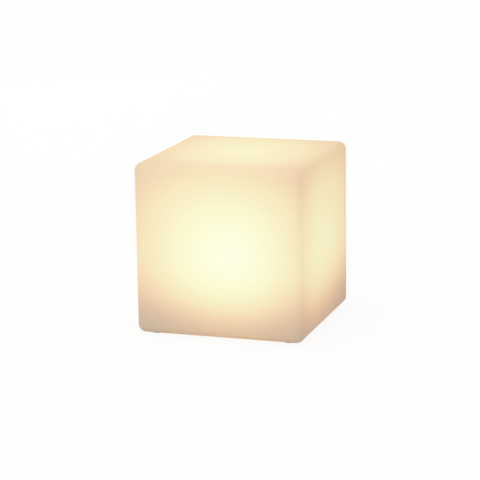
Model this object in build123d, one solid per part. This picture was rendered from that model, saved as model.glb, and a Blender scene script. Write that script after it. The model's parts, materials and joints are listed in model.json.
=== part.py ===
from build123d import *
import os
from math import cos, hypot, pi, radians, sin, tan

# A cordless cube lamp for the garden. A hollow moulded cube is lit from inside by a sealed
# light engine: a can with two round cells and a control board, a lamp board on its roof and a
# frosted dome over that. The engine stands on the base cover, which closes the round neck in
# the cube's underside. The push button and the charging jack lie in a well in the cover.
#
# Millimetres, +Z up. The origin is on the ground, under the middle of the cube, and the front
# is -Y. Every height is measured from the ground.

# ---------------------------------------------------------------- driving dimensions

# Cube
cube_side = 200.0
edge_radius = 9.5
shell_wall = 3.0
pocket_depth = 8.0
mouth_round = 2.0

# Feet
foot_radius = 9.0
foot_proud = 1.5
foot_dimple = 2.0
foot_inset = 20.0
foot_pad_wall = 3.0
foot_pad_height = 2.0
foot_round = 0.6

# Base cover and its gasket
cover_thickness = 3.0
cover_round = 0.8
rib_height = 1.2
rib_width = 1.6
rib_count = 8
rib_ring_gap = 1.5
gasket_thickness = 1.5
gasket_width = 5.5
cover_screw_count = 6
insert_radius = 3.0
insert_length = 7.0
insert_boss_wall = 3.0
insert_end_room = 1.5
cover_screw_length = 9.0

# Service well in the cover: its length and width follow from what lies in it
well_depth = 10.0
well_wall = 2.5
well_round = 1.0
well_side_room = 2.65
well_button_room = 1.65
well_anchor_room = 2.5
button_bung_gap = 6.15

# Push button
button_travel = 0.8
button_end_room = 0.2
button_cap_radius = 6.0
button_cap_thickness = 2.2
button_stem_radius = 3.0
boot_wall = 0.8
boot_flange_width = 1.9
boot_flange_thickness = 1.0
bezel_wall = 0.9
bezel_lip = 1.2
switch_side = 6.0
switch_height = 3.5
plunger_radius = 1.75
plunger_proud = 1.5
plunger_depth = 1.9

# Charging jack: bore and pin for a 5.5 mm round plug
jack_bore_radius = 3.1
jack_bore_depth = 9.0
jack_pin_radius = 1.0
jack_pin_recess = 1.0
jack_pin_round = 0.3
jack_nose_radius = 5.0
jack_nose_proud = 0.8
jack_body_side = 12.0

# Bung, its strap and anchor
bung_radius = 6.5
bung_thickness = 2.2
bung_plug_height = 1.3
bung_plug_wall = 1.1
strap_thickness = 1.6
strap_width = 6.0
strap_length = 12.0
strap_gap = 0.4
anchor_length = 6.5
anchor_peg_radius = 1.5
anchor_barb_radius = 2.2
anchor_barb_height = 1.6

# Charge light
pipe_bezel_gap = 4.65
pipe_wall_gap = 4.5
pipe_radius = 1.5
pipe_head_radius = 2.2
pipe_head_height = 0.8
pipe_diode_height = 0.8
pipe_diode_length = 2.0
pipe_diode_width = 1.2

# Control board
board_thickness = 1.6
board_room = 3.0
board_lift = 6.5
board_screw_count = 3
board_screw_inset = 3.0
board_screw_bite = 6.4
post_radius = 3.2

# Parts soldered to the control board
controller_side = 7.0
charger_side = 4.5
guard_side = 3.0
driver_side = 5.5
chip_height = 1.0
coil_radius = 3.6
coil_height = 3.0
capacitor_radius = 3.0
capacitor_height = 5.4
header_length = 12.0
header_width = 2.5
header_height = 2.0
chip_round = 0.5

# Cells, cradle and foam
cell_radius = 9.2
cell_length = 65.0
cell_gap = 0.4
cell_nub_radius = 3.3
cell_nub_height = 0.8
cell_round = 0.8
cradle_legs = 3.9
cradle_floor = 1.2
cradle_wall = 1.5
cradle_height = 9.0
cradle_wall_length = 50.0
cradle_lip_height = 4.0
cradle_lip_width = 6.0
cradle_lip_y = 9.4
cradle_leg_radius = 2.0
cradle_leg_x = 24.0
cradle_leg_y = 10.0
strip_thickness = 0.3
strip_height = 8.0
strip_overhang = 3.5
foam_length = 56.0
foam_width = 30.0
foam_thickness = 2.8

# Leads
lead_radius = 0.7
lead_hole_radius = 1.2
lamp_lead_spacing = 6.0
lamp_lead_inset = 4.0
lamp_lead_foot_inset = 6.45
lamp_lead_bow = 0.4
cell_lead_bow = 0.9
cell_lead_draw = 0.4

# Engine can
cell_room = 1.5
can_wall = 2.5
can_flange_width = 7.5
can_flange_thickness = 3.0
can_screw_count = 4
can_screw_boss_wall = 2.4
can_screw_boss_floor = 1.2
can_screw_length = 6.0
seal_inset = 2.0
seal_width = 1.6
seal_thickness = 1.5
seal_room = 0.15

# Lamp board and heat spreader
spreader_room = 2.0
spreader_thickness = 1.5
spreader_rim = 1.0
lamp_board_thickness = 1.6
lamp_screw_inset = 5.0
lamp_screw_length = 5.0
diode_side = 5.0
diode_height = 1.6
inner_diodes = 6
inner_diode_circle = 9.5
outer_diodes = 12
outer_diode_inset = 10.0

# Dome
dome_wall = 2.0
dome_flange_thickness = 2.5
dome_seal_width = 2.6
dome_seal_thickness = 0.8
dome_screw_count = 3
dome_screw_inset = 3.5
dome_screw_gap = 1.45
dome_screw_boss_wall = 1.7
dome_screw_boss_floor = 1.5
dome_screw_length = 8.0

# Screws: shank radius, head radius and head height of each standard size
m4_shank = 2.0
m4_head = 3.7
m4_head_height = 2.4
m3_shank = 1.5
m3_head = 2.5
m3_head_height = 1.8
m25_shank = 1.25
m25_head = 2.2
m25_head_height = 1.5

# Clearances
running_clearance = 0.05
thread_clearance = 0.05
hole_clearance = 0.25
loose_clearance = 0.3
screw_end_room = 0.8
cover_rim_room = 2.0
neck_room = 1.5
gasket_room = 0.5
insert_rim = 1.5
sheet_overrun = 1.0

# ---------------------------------------------------------------- places worked out from them

# Heights, from the ground up
shell_bottom = foot_proud
shell_middle = shell_bottom + cube_side / 2
shell_floor = shell_bottom + shell_wall
neck_bottom = shell_bottom + pocket_depth
neck_top = neck_bottom + shell_wall
foot_top = shell_bottom + foot_dimple
cover_top = neck_bottom - gasket_thickness
cover_bottom = cover_top - cover_thickness
rib_bottom = cover_bottom - rib_height
well_roof = cover_bottom + well_depth
well_roof_top = well_roof + well_wall
board_bottom = well_roof_top + board_lift
board_top = board_bottom + board_thickness
cradle_bottom = board_top + cradle_legs
cradle_top = cradle_bottom + cradle_floor
cell_middle = cradle_top + running_clearance + cell_radius
foam_bottom = cell_middle + cell_radius + running_clearance
can_roof = foam_bottom + foam_thickness
can_top = can_roof + can_wall
can_flange_top = cover_top + can_flange_thickness
spreader_top = can_top + spreader_thickness
lamp_board_top = spreader_top + lamp_board_thickness
dome_bottom = can_top + dome_seal_thickness
dome_flange_top = dome_bottom + dome_flange_thickness

# Button stack, from the well's roof down and up
boot_flange_bottom = well_roof - boot_flange_thickness
button_cap_top = well_roof - button_travel - button_end_room
button_cap_bottom = button_cap_top - button_cap_thickness
boot_bottom = button_cap_bottom - boot_wall
bezel_bottom = boot_flange_bottom - bezel_lip
switch_bottom = board_bottom - switch_height
plunger_bottom = switch_bottom - plunger_proud
plunger_top = switch_bottom + plunger_depth
switch_hole_top = plunger_top + button_travel + loose_clearance

# Along the well, from its button end
boot_outer = button_cap_radius + loose_clearance + 1.5 * boot_wall
boot_flange_radius = boot_outer + boot_flange_width
bezel_inner = boot_flange_radius + running_clearance
bezel_radius = bezel_inner + bezel_wall
strap_reach = strap_length + strap_thickness + strap_gap + anchor_length
well_contents = 2 * bezel_radius + button_bung_gap + bung_radius + strap_reach
well_length = well_button_room + well_contents + well_anchor_room
well_width = 2 * (bezel_radius + well_side_room)
button_x = -well_length / 2 + well_button_room + bezel_radius
jack_x = button_x + bezel_radius + button_bung_gap + bung_radius
pipe_x = button_x + bezel_radius + pipe_bezel_gap
pipe_y = well_width / 2 - pipe_wall_gap

# Jack stack
jack_mouth = well_roof - jack_nose_proud
jack_bore_top = jack_mouth + jack_bore_depth
jack_pin_bottom = jack_mouth + jack_pin_recess
jack_body_bottom = well_roof_top + running_clearance
bung_bottom = jack_mouth - bung_thickness
strap_middle = jack_mouth - bung_thickness / 2
hinge_x = jack_x + strap_length
anchor_start_x = hinge_x + strap_thickness + strap_gap
anchor_peg_x = anchor_start_x + anchor_length - anchor_barb_radius

# Radii, from the cells outwards
cell_pitch = 2 * cell_radius + cell_gap
cell_reach = hypot(cell_length / 2, cell_pitch / 2 + cell_radius)
can_inner = cell_reach + cell_room
can_radius = can_inner + can_wall
can_flange_radius = can_radius + can_flange_width
can_screw_circle = can_radius + can_flange_width / 2
board_radius = can_inner - board_room
board_screw_circle = board_radius - board_screw_inset
seal_inner = can_inner + seal_inset
seal_outer = seal_inner + seal_width
neck_radius = can_flange_radius + neck_room
gasket_inner = neck_radius + neck_room
gasket_outer = gasket_inner + gasket_width
cover_screw_circle = gasket_outer + gasket_room + insert_radius
cover_radius = cover_screw_circle + insert_radius + insert_rim
pocket_radius = cover_radius + cover_rim_room
rib_ring_radius = cover_screw_circle - m4_head - rib_ring_gap
dome_screw_circle = can_radius - dome_screw_inset
dome_radius = dome_screw_circle - m3_head - dome_screw_gap
dome_inner = dome_radius - dome_wall
spreader_radius = dome_inner - spreader_room
lamp_board_radius = spreader_radius - spreader_rim
lamp_screw_x = lamp_board_radius - lamp_screw_inset
lamp_lead_y = lamp_board_radius - lamp_lead_inset
lamp_lead_foot_y = board_radius - lamp_lead_foot_inset
outer_diode_circle = lamp_board_radius - outer_diode_inset
cradle_half_width = cell_pitch / 2 + cell_radius + loose_clearance + cradle_wall
strip_x = cell_length / 2
cradle_half_length = strip_x + strip_thickness + loose_clearance + cradle_wall
foot_place = cube_side / 2 - foot_inset


# ---------------------------------------------------------------- shapes used again and again


def cylinder(radius, bottom, top, x=0.0, y=0.0):
    """An upright cylinder between two heights."""
    return Pos(x, y, (bottom + top) / 2) * Cylinder(radius, top - bottom)


def block(length, width, bottom, top, x=0.0, y=0.0):
    """A rectangular block between two heights."""
    return Pos(x, y, (bottom + top) / 2) * Box(length, width, top - bottom)


def ring(outer, inner, bottom, top, x=0.0, y=0.0):
    """A flat ring between two heights."""
    return cylinder(outer, bottom, top, x, y) - cylinder(inner, bottom, top, x, y)


def slot(length, width, bottom, top):
    """An upright block with round ends, lying along X."""
    return Pos(0, 0, bottom) * extrude(SlotOverall(length, width), top - bottom)


def on_circle(radius, count, first=0.0):
    """The (x, y) of evenly spaced places on a circle, the first at an angle in degrees."""
    angles = [radians(first + 360.0 * turn / count) for turn in range(count)]
    return [(radius * cos(angle), radius * sin(angle)) for angle in angles]


def circles_at(shape, radius, height):
    """The round edges of one radius at one height."""
    rims = shape.edges().filter_by(GeomType.CIRCLE)
    return [
        rim
        for rim in rims
        if abs(rim.radius - radius) < 0.001 and abs(rim.center().Z - height) < 0.001
    ]


def slot_rim(shape, length, width, height):
    """The edges at one height that run along a slot's outline."""
    rim = []
    for edge in shape.edges():
        middle = edge @ 0.5
        past_straight = max(abs(middle.X) - (length - width) / 2, 0)
        from_middle_line = hypot(past_straight, middle.Y)
        if abs(middle.Z - height) < 0.001 and abs(from_middle_line - width / 2) < 0.001:
            rim.append(edge)
    return rim


def pan_screw(shank, head, head_height, length):
    """A pan-head screw seated at z = 0, with its head below that and its shank above."""
    top = cylinder(head, -head_height, 0)
    top = fillet(top.edges().sort_by(Axis.Z)[0], 0.45 * head_height)
    recess = block(1.1 * head, 0.3 * head, -head_height - sheet_overrun, -0.4 * head_height)
    for turn in (0, 90):
        top -= Rot(0, 0, turn) * recess
    thread = cylinder(shank, 0, length)
    thread = chamfer(thread.edges().sort_by(Axis.Z)[-1], 0.3 * shank)
    return top + thread


def driven_down(screw, seat, x, y):
    """A screw put in from above, its head resting on a seat height."""
    return Pos(x, y, seat) * Rot(180, 0, 0) * screw


def lead(name, points):
    """A wire along straight runs joined by arcs as large as the runs allow."""
    places = [Vector(*point) for point in points]
    radii = []
    for before, corner, after in zip(places, places[1:], places[2:]):
        turn = radians((corner - before).get_angle(after - corner))
        shorter = min((corner - before).length, (after - corner).length)
        radii.append(0.45 * shorter / tan(turn / 2))
    path = FilletPolyline(*places, radius=radii)
    wire = sweep(Plane(path @ 0, z_dir=path % 0) * Circle(lead_radius), path=path)
    share = wire.volume / (pi * lead_radius**2 * path.length)
    print(name, "radii", [round(radius, 1) for radius in radii], "volume share", round(share, 4))
    return wire


# ---------------------------------------------------------------- places of what repeats

cover_screw_places = on_circle(cover_screw_circle, cover_screw_count, 180 / cover_screw_count)
can_screw_places = on_circle(can_screw_circle, can_screw_count, 180 / can_screw_count)
board_screw_places = on_circle(board_screw_circle, board_screw_count, 90 - 180 / board_screw_count)
dome_screw_places = on_circle(dome_screw_circle, dome_screw_count, 90)
lamp_screw_places = [(-lamp_screw_x, 0), (lamp_screw_x, 0)]
lamp_lead_places = [(-lamp_lead_spacing / 2, lamp_lead_y), (lamp_lead_spacing / 2, lamp_lead_y)]
foot_places = [(x, y) for x in (-foot_place, foot_place) for y in (-foot_place, foot_place)]


# ---------------------------------------------------------------- shell, feet and base


def rounded_cube(side, radius):
    """A cube about the shell's middle with every edge rounded alike."""
    return Pos(0, 0, shell_middle) * fillet(Box(side, side, side).edges(), radius)


def make_cube_shell():
    """The hollow cube, with a pocket and neck for the cover, insert bosses and foot dimples."""
    shell = rounded_cube(cube_side, edge_radius)
    shell -= rounded_cube(cube_side - 2 * shell_wall, edge_radius - shell_wall)
    in_floor = shell_bottom + shell_wall / 2
    boss_top = neck_bottom + insert_length + insert_end_room + shell_wall
    shell += cylinder(pocket_radius + shell_wall, in_floor, neck_top)
    for x, y in cover_screw_places:
        shell += cylinder(insert_radius + insert_boss_wall, neck_bottom, boss_top, x, y)
    for x, y in foot_places:
        shell += cylinder(foot_radius + foot_pad_wall, in_floor, shell_floor + foot_pad_height, x, y)
    shell -= cylinder(pocket_radius, shell_bottom - sheet_overrun, neck_bottom)
    shell -= cylinder(neck_radius, neck_bottom - sheet_overrun, neck_top + sheet_overrun)
    insert_hole_top = neck_bottom + insert_length + insert_end_room
    for x, y in cover_screw_places:
        hole = insert_radius + thread_clearance
        shell -= cylinder(hole, neck_bottom - sheet_overrun, insert_hole_top, x, y)
    for x, y in foot_places:
        dimple = foot_radius + hole_clearance
        shell -= cylinder(dimple, shell_bottom - sheet_overrun, foot_top, x, y)
    return fillet(circles_at(shell, pocket_radius, shell_bottom), mouth_round)


def make_thread_insert(x, y):
    """A brass insert, flush with the neck's underside, threaded for the cover screws."""
    bore = m4_shank + thread_clearance
    return ring(insert_radius, bore, neck_bottom, neck_bottom + insert_length, x, y)


def make_foot(x, y):
    """A round rubber foot in its dimple."""
    foot = cylinder(foot_radius, 0, foot_top, x, y)
    return fillet(circles_at(foot, foot_radius, 0), foot_round)


def make_base_gasket():
    """The flat gasket between the neck and the cover, inside the ring of screws."""
    return ring(gasket_outer, gasket_inner, cover_top, neck_bottom)


def make_base_cover():
    """The round cover, ribbed below, with the service well, board posts and blind bosses."""
    cover = cylinder(cover_radius, cover_bottom, cover_top)
    cover = fillet(circles_at(cover, cover_radius, cover_bottom), cover_round)
    cover += ring(rib_ring_radius, rib_ring_radius - rib_width, rib_bottom, cover_bottom)
    rib_length = rib_ring_radius - rib_width / 2
    rib = block(rib_length, rib_width, rib_bottom, cover_bottom, rib_length / 2)
    for turn in range(rib_count):
        cover += Rot(0, 0, turn * 360 / rib_count) * rib
    boss_bottom = can_flange_top - can_screw_length - screw_end_room - can_screw_boss_floor
    can_hole_bottom = boss_bottom + can_screw_boss_floor
    for x, y in can_screw_places:
        boss = m3_shank + can_screw_boss_wall
        cover += cylinder(boss, boss_bottom, cover_top, x, y)
    outer_length = well_length + 2 * well_wall
    outer_width = well_width + 2 * well_wall
    cover += slot(outer_length, outer_width, rib_bottom, well_roof_top)
    for x, y in board_screw_places:
        cover += cylinder(post_radius, cover_bottom, board_bottom, x, y)
    cover -= slot(well_length, well_width, rib_bottom - sheet_overrun, well_roof)
    cover = fillet(slot_rim(cover, well_length, well_width, rib_bottom), well_round)

    for x, y in can_screw_places:
        cover -= cylinder(m3_shank + thread_clearance, can_hole_bottom, cover_top + sheet_overrun, x, y)
    for x, y in board_screw_places:
        cover -= cylinder(m3_shank + thread_clearance, cover_top, board_bottom + sheet_overrun, x, y)
    for x, y in cover_screw_places:
        hole = m4_shank + hole_clearance
        cover -= cylinder(hole, cover_bottom - sheet_overrun, cover_top + sheet_overrun, x, y)
    through_roof = (
        (button_stem_radius + running_clearance, button_x, 0),
        (jack_nose_radius + hole_clearance, jack_x, 0),
        (pipe_radius + running_clearance, pipe_x, pipe_y),
        (anchor_peg_radius + running_clearance, anchor_peg_x, 0),
    )
    for hole, x, y in through_roof:
        cover -= cylinder(hole, well_roof - sheet_overrun, well_roof_top + sheet_overrun, x, y)
    return cover


def make_cover_screw(x, y):
    """A screw put in from below, through the cover and into its insert."""
    screw = pan_screw(m4_shank, m4_head, m4_head_height, cover_screw_length)
    return Pos(x, y, cover_bottom) * screw


# ---------------------------------------------------------------- button


def make_power_button():
    """The button's cap and the stem that runs up through the well's roof."""
    cap = cylinder(button_cap_radius, button_cap_bottom, button_cap_top, button_x)
    cap = fillet(circles_at(cap, button_cap_radius, button_cap_bottom), boot_wall / 2)
    return cap + cylinder(button_stem_radius, button_cap_top, plunger_bottom, button_x)


def make_button_boot():
    """The rubber boot: a thin cup over the cap, with a flange against the well's roof."""
    low = button_cap_radius + loose_clearance
    high = boot_outer - boot_wall
    profile = Polyline(
        (0, boot_bottom),
        (low + boot_wall / 2, boot_bottom),
        (boot_outer, boot_flange_bottom),
        (boot_flange_radius, boot_flange_bottom),
        (boot_flange_radius, well_roof),
        (high, well_roof),
        (low, button_cap_bottom),
        (0, button_cap_bottom),
        close=True,
    )
    boot = revolve(Plane.XZ * make_face(profile), Axis.Z)
    return Pos(button_x, 0, 0) * boot


def make_button_bezel():
    """The ring that holds the boot's flange against the roof."""
    mouth = boot_outer + loose_clearance
    bezel = ring(bezel_radius, mouth, bezel_bottom, well_roof, button_x)
    bezel -= cylinder(bezel_inner, boot_flange_bottom, well_roof + sheet_overrun, button_x)
    return fillet(circles_at(bezel, bezel_radius, bezel_bottom), bezel_lip / 2)


def make_tact_switch():
    """The switch under the control board, open below for its plunger."""
    body = block(switch_side, switch_side, switch_bottom, board_bottom, button_x)
    hole = plunger_radius + running_clearance
    return body - cylinder(hole, switch_bottom - sheet_overrun, switch_hole_top, button_x)


def make_switch_plunger():
    """The switch's plunger, which stands on the button's stem."""
    return cylinder(plunger_radius, plunger_bottom, plunger_top, button_x)


# ---------------------------------------------------------------- charging jack, bung, light


def make_charge_socket():
    """The jack: a square body under the board and a round nose through the well's roof."""
    jack = block(jack_body_side, jack_body_side, jack_body_bottom, board_bottom, jack_x)
    jack += cylinder(jack_nose_radius, jack_mouth, board_bottom, jack_x)
    jack -= cylinder(jack_bore_radius, jack_mouth - sheet_overrun, jack_bore_top, jack_x)
    return chamfer(circles_at(jack, jack_bore_radius, jack_mouth), loose_clearance)


def make_socket_pin():
    """The jack's centre pin, standing on the floor of the bore."""
    pin = cylinder(jack_pin_radius, jack_pin_bottom, jack_bore_top, jack_x)
    return fillet(circles_at(pin, jack_pin_radius, jack_pin_bottom), jack_pin_round)


def make_bung_cap():
    """The bung, closed over the jack, with its half of the strap out to the hinge line."""
    strap_bottom = strap_middle - strap_thickness / 2
    strap_top = strap_middle + strap_thickness / 2
    cap = cylinder(bung_radius, bung_bottom, jack_mouth, jack_x)
    cap = fillet(circles_at(cap, bung_radius, bung_bottom), bung_plug_height / 2)
    plug = jack_bore_radius - loose_clearance - running_clearance
    strap = block(strap_length, strap_width, strap_bottom, strap_top, jack_x + strap_length / 2)
    knuckle = Pos(hinge_x, 0, strap_middle) * Rot(90, 0, 0) * Cylinder(strap_thickness / 2, strap_width)
    cap += strap + knuckle
    cap += ring(plug, plug - bung_plug_wall, jack_mouth, jack_mouth + bung_plug_height, jack_x)
    return cap


def make_bung_anchor():
    """The fixed half of the strap, with a barbed peg pushed up through the roof."""
    strap_bottom = strap_middle - strap_thickness / 2
    strap_top = strap_middle + strap_thickness / 2
    middle = anchor_start_x + anchor_length / 2
    strap = block(anchor_length, strap_width, strap_bottom, strap_top, middle)
    knuckle = Rot(90, 0, 0) * Cylinder(strap_thickness / 2, strap_width)
    anchor = strap + Pos(anchor_start_x, 0, strap_middle) * knuckle
    barb_bottom = well_roof_top + running_clearance
    barb = cylinder(anchor_barb_radius, barb_bottom, barb_bottom + anchor_barb_height, anchor_peg_x)
    barb = chamfer(barb.edges().sort_by(Axis.Z)[-1], anchor_barb_radius - anchor_peg_radius)
    anchor += cylinder(strap_width / 2, strap_top, well_roof, anchor_peg_x)
    anchor += cylinder(anchor_peg_radius, well_roof, barb_bottom, anchor_peg_x)
    return anchor + barb


def make_charge_indicator():
    """The clear light pipe, from its head in the well to a diode under the board."""
    pipe_top = board_bottom - pipe_diode_height
    head = cylinder(pipe_head_radius, well_roof - pipe_head_height, well_roof, pipe_x, pipe_y)
    head = fillet(head.edges().sort_by(Axis.Z)[0], pipe_head_height / 2)
    return head + cylinder(pipe_radius, well_roof, pipe_top, pipe_x, pipe_y)


# ---------------------------------------------------------------- board, cells and leads


def make_control_board():
    """The round control board on the cover's posts."""
    board = cylinder(board_radius, board_bottom, board_top)
    for x, y in board_screw_places:
        hole = m3_shank + hole_clearance
        board -= cylinder(hole, board_bottom - sheet_overrun, board_top + sheet_overrun, x, y)
    return board


def make_board_chips():
    """What is soldered to the control board, placed by angle and share of its radius."""
    squares = (
        (controller_side, 270, 0.22),
        (charger_side, 325, 0.44),
        (guard_side, 27, 0.37),
        (driver_side, 138, 0.34),
    )
    chips = []
    for side, angle, share in squares:
        x, y = on_circle(share * board_radius, 1, angle)[0]
        chips.append(block(side, side, board_top, board_top + chip_height, x, y))
    cans = (
        (coil_radius, coil_height, 215, 0.44),
        (capacitor_radius, capacitor_height, 308, 0.9),
    )
    for radius, height, angle, share in cans:
        x, y = on_circle(share * board_radius, 1, angle)[0]
        can = cylinder(radius, board_top, board_top + height, x, y)
        chips.append(fillet(can.edges().sort_by(Axis.Z)[-1], chip_round))
    header_y = lamp_lead_foot_y + lead_radius + header_width
    header_top = board_top + header_height
    chips.append(block(header_length, header_width, board_top, header_top, 0, header_y))
    diode_bottom = board_bottom - pipe_diode_height
    length, width = pipe_diode_length, pipe_diode_width
    chips.append(block(length, width, diode_bottom, board_bottom, pipe_x, pipe_y))
    return Compound(children=chips)


def make_board_screw(x, y):
    """A screw from above, through the board and into its post."""
    length = board_thickness + board_screw_bite
    return driven_down(pan_screw(m3_shank, m3_head, m3_head_height, length), board_top, x, y)


def make_cell_cradle():
    """The tray under the cells, with side walls, end lips and four legs."""
    cradle = block(2 * cradle_half_length, 2 * cradle_half_width, cradle_bottom, cradle_top)
    wall_y = cradle_half_width - cradle_wall / 2
    lip_x = cradle_half_length - cradle_wall / 2
    for side in (-1, 1):
        top = cradle_top + cradle_height
        cradle += block(cradle_wall_length, cradle_wall, cradle_bottom, top, 0, side * wall_y)
        for end in (-1, 1):
            lip_top = cradle_top + cradle_lip_height
            place = (end * lip_x, side * cradle_lip_y)
            cradle += block(cradle_wall, cradle_lip_width, cradle_bottom, lip_top, *place)
            leg = (end * cradle_leg_x, side * cradle_leg_y)
            cradle += cylinder(cradle_leg_radius, board_top, cradle_bottom + cradle_floor / 2, *leg)
    # Each end is notched for the lead that comes down from its strip.
    notch_width = 2 * (cradle_lip_y - cradle_lip_width / 2)
    for end in (-1, 1):
        cut = block(2 * (cradle_wall + 2 * lead_radius), notch_width, cradle_bottom, cradle_top)
        cradle -= Pos(end * cradle_half_length, 0, 0) * cut
    return cradle & cylinder(can_inner - cell_room / 2, board_top, foam_bottom)


def make_cell(side):
    """A round cell lying along X, with its raised terminal towards +X."""
    length = cell_length - cell_nub_height
    body = Pos(-cell_nub_height / 2, 0, 0) * Rot(0, 90, 0) * Cylinder(cell_radius, length)
    rims = body.edges().filter_by(GeomType.CIRCLE)
    body = fillet(rims, cell_round)
    nub_x = (cell_length - cell_nub_height) / 2
    nub = Pos(nub_x, 0, 0) * Rot(0, 90, 0) * Cylinder(cell_nub_radius, cell_nub_height)
    return Pos(0, side * cell_pitch / 2, cell_middle) * (body + nub)


def make_end_strip(end):
    """The strip that joins both cells at one end."""
    width = cell_pitch + 2 * strip_overhang
    low = cell_middle - strip_height / 2
    high = cell_middle + strip_height / 2
    return block(strip_thickness, width, low, high, end * (strip_x + strip_thickness / 2))


def make_foam_pad():
    """The pad that holds the cells down under the can's roof."""
    return block(foam_length, foam_width, foam_bottom, can_roof)


def make_cell_lead(name, end):
    """A lead soldered down the face of an end strip, and on to the board below."""
    touch = strip_x + strip_thickness + lead_radius
    foot = touch - cell_lead_draw
    bow = touch + cell_lead_bow
    drop = cell_middle - board_top
    route = (
        (end * touch, 0, cell_middle + 0.17 * drop),
        (end * touch, 0, cell_middle - 0.17 * drop),
        (end * bow, 0, cell_middle - 0.48 * drop),
        (end * foot, 0, board_top + 0.24 * drop),
        (end * foot, 0, board_top),
    )
    return lead(name, route)


def make_lamp_lead(name, x):
    """A lead from the board up through the can's roof to the lamp board."""
    rise = spreader_top - board_top
    halfway = (lamp_lead_foot_y + lamp_lead_y) / 2
    route = (
        (x, lamp_lead_foot_y, board_top),
        (x, lamp_lead_foot_y, board_top + 0.22 * rise),
        (x, halfway + lamp_lead_bow, board_top + 0.45 * rise),
        (x, lamp_lead_y, board_top + 0.72 * rise),
        (x, lamp_lead_y, spreader_top),
    )
    return lead(name, route)


# ---------------------------------------------------------------- can, lamp board and dome


def make_canister():
    """The engine's can: flange with a seal groove, wall, roof and bosses for the dome."""
    can = cylinder(can_radius, cover_top, can_top)
    can += cylinder(can_flange_radius, cover_top, can_flange_top)
    can -= cylinder(can_inner, cover_top - sheet_overrun, can_roof)
    hole_bottom = dome_flange_top - dome_screw_length - screw_end_room
    for x, y in dome_screw_places:
        boss = m3_shank + dome_screw_boss_wall
        can += cylinder(boss, hole_bottom - dome_screw_boss_floor, can_roof, x, y)
    groove_outer = seal_outer + seal_room
    groove_inner = seal_inner - seal_room
    groove_top = cover_top + seal_thickness
    can -= ring(groove_outer, groove_inner, cover_top - sheet_overrun, groove_top)
    for x, y in dome_screw_places:
        can -= cylinder(m3_shank + thread_clearance, hole_bottom, can_top + sheet_overrun, x, y)
    for x, y in can_screw_places:
        hole = m3_shank + hole_clearance
        can -= cylinder(hole, cover_top - sheet_overrun, can_flange_top + sheet_overrun, x, y)
    lamp_hole_bottom = lamp_board_top - lamp_screw_length - running_clearance
    for x, y in lamp_screw_places:
        can -= cylinder(m25_shank + thread_clearance, lamp_hole_bottom, can_top + sheet_overrun, x, y)
    for x, y in lamp_lead_places:
        can -= cylinder(lead_hole_radius, can_roof - sheet_overrun, can_top + sheet_overrun, x, y)
    return can


def make_canister_seal():
    """The seal in the can's flange."""
    return ring(seal_outer, seal_inner, cover_top, cover_top + seal_thickness)


def make_canister_screw(x, y):
    """A screw from above, through the can's flange and into the cover."""
    screw = pan_screw(m3_shank, m3_head, m3_head_height, can_screw_length)
    return driven_down(screw, can_flange_top, x, y)


def make_heat_spreader():
    """The metal disc under the lamp board."""
    disc = cylinder(spreader_radius, can_top, spreader_top)
    for x, y in lamp_screw_places:
        hole = m25_shank + hole_clearance
        disc -= cylinder(hole, can_top - sheet_overrun, spreader_top + sheet_overrun, x, y)
    for x, y in lamp_lead_places:
        disc -= cylinder(lead_hole_radius, can_top - sheet_overrun, spreader_top + sheet_overrun, x, y)
    return disc


def make_lamp_board():
    """The round board that carries the diodes."""
    board = cylinder(lamp_board_radius, spreader_top, lamp_board_top)
    for x, y in lamp_screw_places:
        hole = m25_shank + hole_clearance
        board -= cylinder(hole, spreader_top - sheet_overrun, lamp_board_top + sheet_overrun, x, y)
    return board


def make_lamp_diodes():
    """Two rings of square diodes, turned half a step from the board's screws."""
    diodes = []
    for circle, count in ((inner_diode_circle, inner_diodes), (outer_diode_circle, outer_diodes)):
        first = 180.0 / count
        for turn in range(count):
            angle = first + 360.0 * turn / count
            diode = Box(diode_side, diode_side, diode_height)
            place = Rot(0, 0, angle) * Pos(circle, 0, lamp_board_top + diode_height / 2)
            diodes.append(place * diode)
    return Compound(children=diodes)


def make_lamp_board_screw(x, y):
    """A screw through the lamp board and spreader into the can's roof."""
    screw = pan_screw(m25_shank, m25_head, m25_head_height, lamp_screw_length)
    return driven_down(screw, lamp_board_top, x, y)


def make_dome():
    """The frosted dome over the lamp board, with a screwed flange."""
    bulb = Pos(0, 0, dome_flange_top) * (Sphere(dome_radius) - Sphere(dome_inner))
    below = dome_flange_top - dome_radius - sheet_overrun
    bulb -= cylinder(dome_radius + sheet_overrun, below, dome_flange_top)
    dome = bulb + ring(can_radius, dome_inner, dome_bottom, dome_flange_top)
    for x, y in dome_screw_places:
        hole = m3_shank + hole_clearance
        dome -= cylinder(hole, dome_bottom - sheet_overrun, dome_flange_top + sheet_overrun, x, y)
    return dome


def make_dome_seal():
    """The flat seal under the dome's flange."""
    return ring(dome_inner + dome_seal_width, dome_inner, can_top, dome_bottom)


def make_dome_screw(x, y):
    """A screw from above, through the dome's flange and into the can."""
    screw = pan_screw(m3_shank, m3_head, m3_head_height, dome_screw_length)
    return driven_down(screw, dome_flange_top, x, y)


# ---------------------------------------------------------------- the whole lamp


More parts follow.
